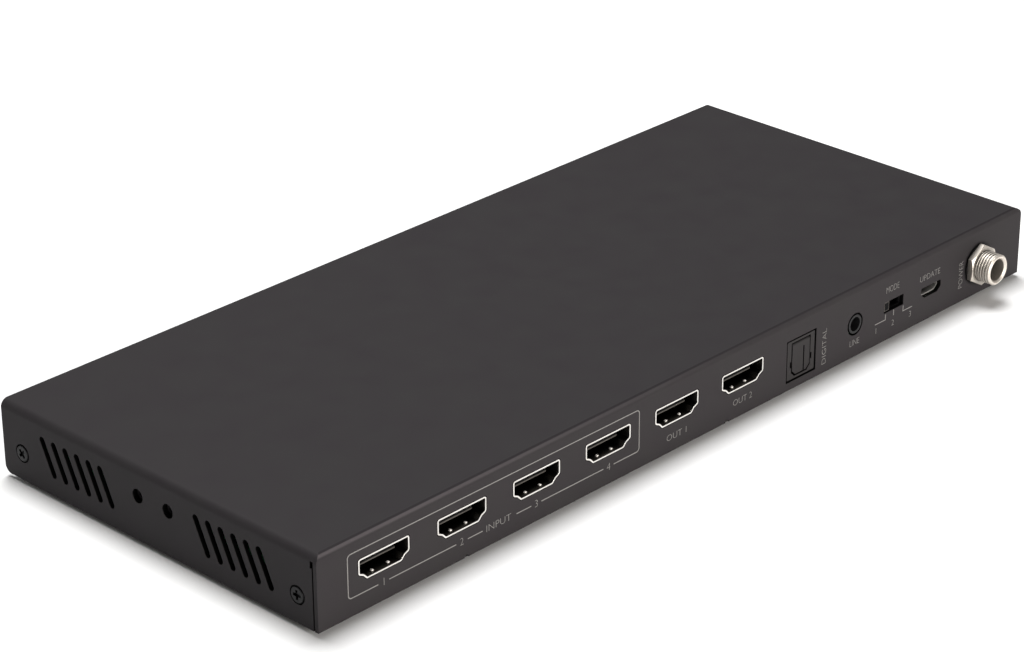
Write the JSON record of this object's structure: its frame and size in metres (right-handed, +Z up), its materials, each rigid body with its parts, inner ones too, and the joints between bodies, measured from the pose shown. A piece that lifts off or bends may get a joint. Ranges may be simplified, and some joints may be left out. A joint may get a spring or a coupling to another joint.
{
  "type": "video matrix switch",
  "caption": "Slim desktop video matrix switch: flat folded-sheet case with sockets along the rear panel, push buttons and indicator lights along the front, and slanted vents in the side walls.",
  "frame": {"origin": "middle of the whole object's footprint, on the surface that the feet stand on", "axes": "+X towards the end with the first input socket, +Y towards the rear panel with the sockets, +Z up; the buttons face -Y"},
  "size_m": [0.2424, 0.1088, 0.019],
  "materials": {
    "cover_paint": "satin powder coat",
    "base_paint": "satin powder coat",
    "screw_black": "black oxide, semi-gloss",
    "foot_rubber": "matte light grey",
    "board_laminate": "green solder mask",
    "steel_plated": "zinc plated",
    "shell_nickel": "nickel plated, semi-bright",
    "dc_nickel": "bright nickel",
    "pin_brass": "bright",
    "insert_black": "moulded, matte",
    "optical_black": "moulded, satin",
    "jack_black": "moulded, satin",
    "slider_black": "moulded, satin",
    "button_gloss": "high gloss black",
    "light_clear": "water clear",
    "receiver_dark": "infra-red passing, dark",
    "shield_tin": "tin plated",
    "chip_black": "moulded epoxy",
    "pad_grey": "soft, matte",
    "sink_aluminium": "extruded, plain",
    "ferrite_grey": "matte",
    "can_aluminium": "bright"
  },
  "bodies": {
    "case": {"top_cover": "cover_paint", "base_chassis": "base_paint", "side_screws": "screw_black", "main_board": "board_laminate", "board_standoffs": "steel_plated", "board_screws": "steel_plated", "optical_housing": "optical_black", "optical_shutter_pin": "steel_plated", "optical_emitter": "optical_black", "audio_jack_body": "jack_black", "audio_jack_contacts": "shell_nickel", "mode_switch_frame": "screw_black", "service_shell": "shell_nickel", "service_insert": "insert_black", "dc_jack_body": "insert_black", "dc_jack_barrel": "dc_nickel", "dc_jack_pin": "pin_brass", "dc_jack_washer": "screw_black", "dc_jack_nut": "dc_nickel", "push_switches": "insert_black", "indicator_lights": "light_clear", "ir_receiver": "receiver_dark", "ir_shield": "shield_tin", "matrix_chip": "chip_black", "thermal_pad": "pad_grey", "heat_sink": "sink_aluminium", "video_chips": "chip_black", "port_chips": "chip_black", "power_inductors": "ferrite_grey", "power_capacitors": "can_aluminium", "foot_rear_right": "foot_rubber", "foot_rear_left": "foot_rubber", "foot_front_right": "foot_rubber", "foot_front_left": "foot_rubber", "video_in_1_shell": "shell_nickel", "video_in_1_insert": "insert_black", "video_in_2_shell": "shell_nickel", "video_in_2_insert": "insert_black", "video_in_3_shell": "shell_nickel", "video_in_3_insert": "insert_black", "video_in_4_shell": "shell_nickel", "video_in_4_insert": "insert_black", "video_out_a_shell": "shell_nickel", "video_out_a_insert": "insert_black", "video_out_b_shell": "shell_nickel", "video_out_b_insert": "insert_black"},
    "optical_shutter": {"optical_shutter": "optical_black"},
    "mode_slider": {"mode_switch_slider": "slider_black"},
    "button_out_a": {"button_out_a": "button_gloss", "plunger_out_a": "insert_black"},
    "button_out_b": {"button_out_b": "button_gloss", "plunger_out_b": "insert_black"},
    "button_audio": {"button_audio": "button_gloss", "plunger_audio": "insert_black"},
    "button_scale": {"button_scale": "button_gloss", "plunger_scale": "insert_black"},
    "button_return": {"button_return": "button_gloss", "plunger_return": "insert_black"}
  },
  "joints": [
    {"name": "button_out_a_press", "type": "slide", "parent": "case", "child": "button_out_a", "axis": [0, 1, 0], "range_m": [0, 0.0004], "stiffness_N_per_m": 300},
    {"name": "button_out_b_press", "type": "slide", "parent": "case", "child": "button_out_b", "axis": [0, 1, 0], "range_m": [0, 0.0004], "stiffness_N_per_m": 300},
    {"name": "button_audio_press", "type": "slide", "parent": "case", "child": "button_audio", "axis": [0, 1, 0], "range_m": [0, 0.0004], "stiffness_N_per_m": 300},
    {"name": "button_scale_press", "type": "slide", "parent": "case", "child": "button_scale", "axis": [0, 1, 0], "range_m": [0, 0.0004], "stiffness_N_per_m": 300},
    {"name": "button_return_press", "type": "slide", "parent": "case", "child": "button_return", "axis": [0, 1, 0], "range_m": [0, 0.0004], "stiffness_N_per_m": 300},
    {"name": "mode_select", "type": "slide", "parent": "case", "child": "mode_slider", "axis": [-1, 0, 0], "range_m": [0, 0.0048]},
    {"name": "optical_shutter_swing", "type": "hinge", "parent": "case", "child": "optical_shutter", "pos_m": [-0.03435, 0.0471, 0.01185], "axis": [-1, 0, 0], "range_deg": [0, 80], "stiffness_Nm_per_rad": 0.0002}
  ]
}
